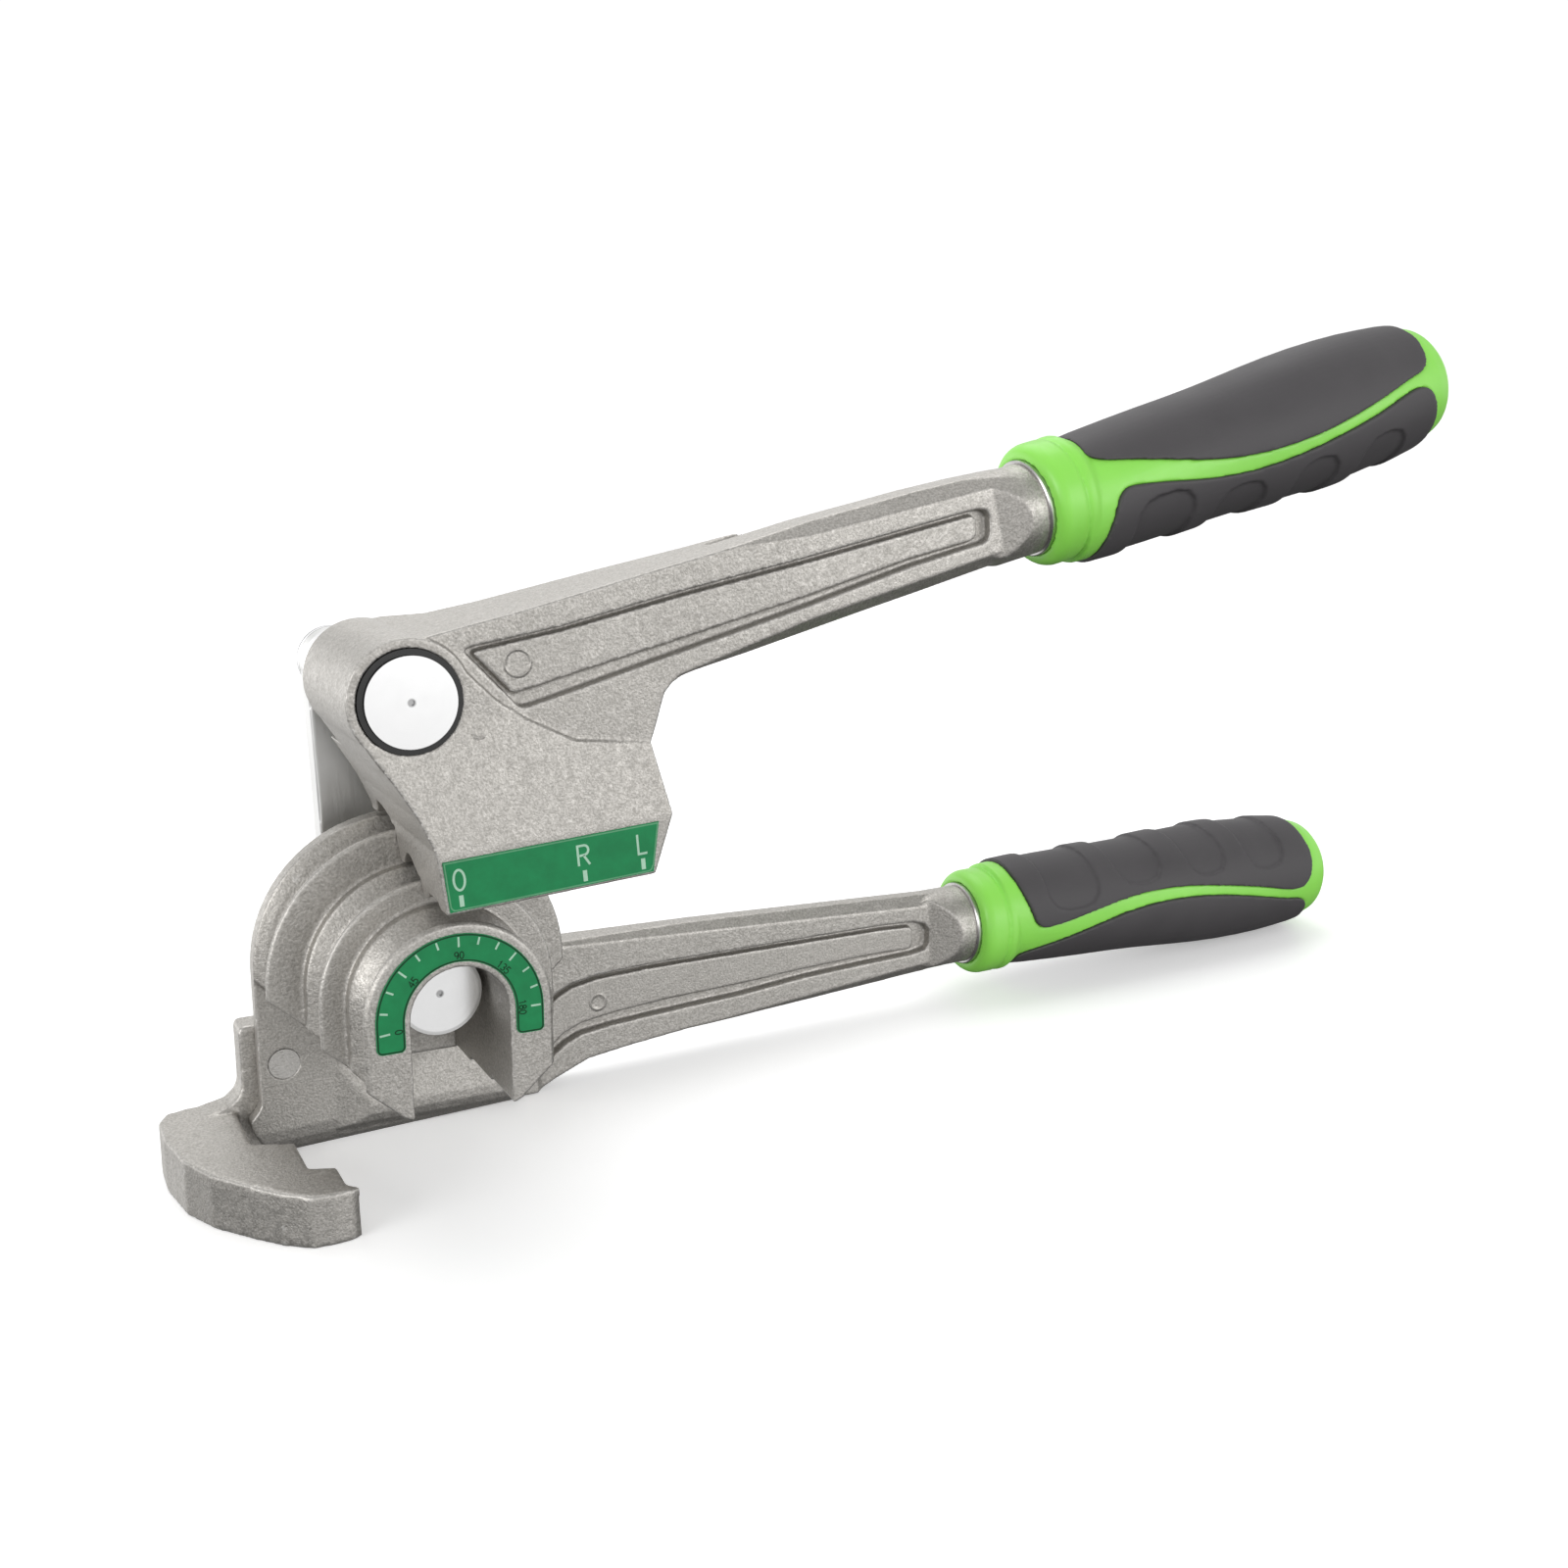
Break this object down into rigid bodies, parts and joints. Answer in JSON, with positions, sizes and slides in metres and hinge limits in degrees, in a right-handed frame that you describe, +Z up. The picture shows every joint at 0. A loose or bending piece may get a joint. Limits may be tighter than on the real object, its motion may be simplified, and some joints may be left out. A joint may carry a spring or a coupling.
{
  "type": "tube bender",
  "caption": "Three-size lever tube bender: grooved half-round mandrel, swinging forming shoe on a link, swing-out tube hook and two padded handles.",
  "frame": {"origin": "on the floor under the middle of the whole tool, in the pictured position", "axes": "+X to the right towards the grips, +Y away from the front face of the mandrel, +Z up from the floor"},
  "size_m": [0.3414, 0.0904, 0.1775],
  "materials": {
    "casting": "sand-cast, blasted",
    "bright_steel": "turned and polished",
    "link_steel": "plated",
    "dark_ring": "gloss",
    "spring_steel": "oiled",
    "green_label": "printed film",
    "green_core": "semi-gloss",
    "grip_rubber": "matt, fine grain"
  },
  "bodies": {
    "base": {"mandrel_body": "casting", "angle_scale": "green_label", "mandrel_pin": "bright_steel", "mandrel_washer": "bright_steel", "mandrel_retainer": "spring_steel", "hook_pin": "bright_steel", "hook_retainer": "spring_steel", "lower_grip_core": "green_core", "lower_palm_pad": "grip_rubber", "lower_finger_pad": "grip_rubber", "lower_ferrule": "bright_steel"},
    "hook": {"tube_hook": "casting"},
    "link_arm": {"link": "link_steel", "link_spacer": "bright_steel", "forming_pin": "bright_steel", "forming_washer": "bright_steel", "forming_retainer": "spring_steel"},
    "forming_lever": {"forming_handle": "casting", "shoe_scale": "green_label", "forming_pin_ring": "dark_ring", "upper_grip_core": "green_core", "upper_palm_pad": "grip_rubber", "upper_finger_pad": "grip_rubber", "upper_ferrule": "bright_steel"}
  },
  "joints": [
    {"name": "mandrel_pivot", "type": "hinge", "parent": "base", "child": "link_arm", "pos_m": [-0.11296, 0.03485, 0.04356], "axis": [0, 1, 0], "range_deg": [-85, 90]},
    {"name": "forming_pivot", "type": "hinge", "parent": "link_arm", "child": "forming_lever", "pos_m": [-0.11767, -0.01015, 0.11064], "axis": [0, 1, 0], "range_deg": [-100, 0]},
    {"name": "hook_pivot", "type": "hinge", "parent": "base", "child": "hook", "pos_m": [-0.14213, 0.02585, 0.02254], "axis": [0, 1, 0], "range_deg": [0, 45]}
  ]
}
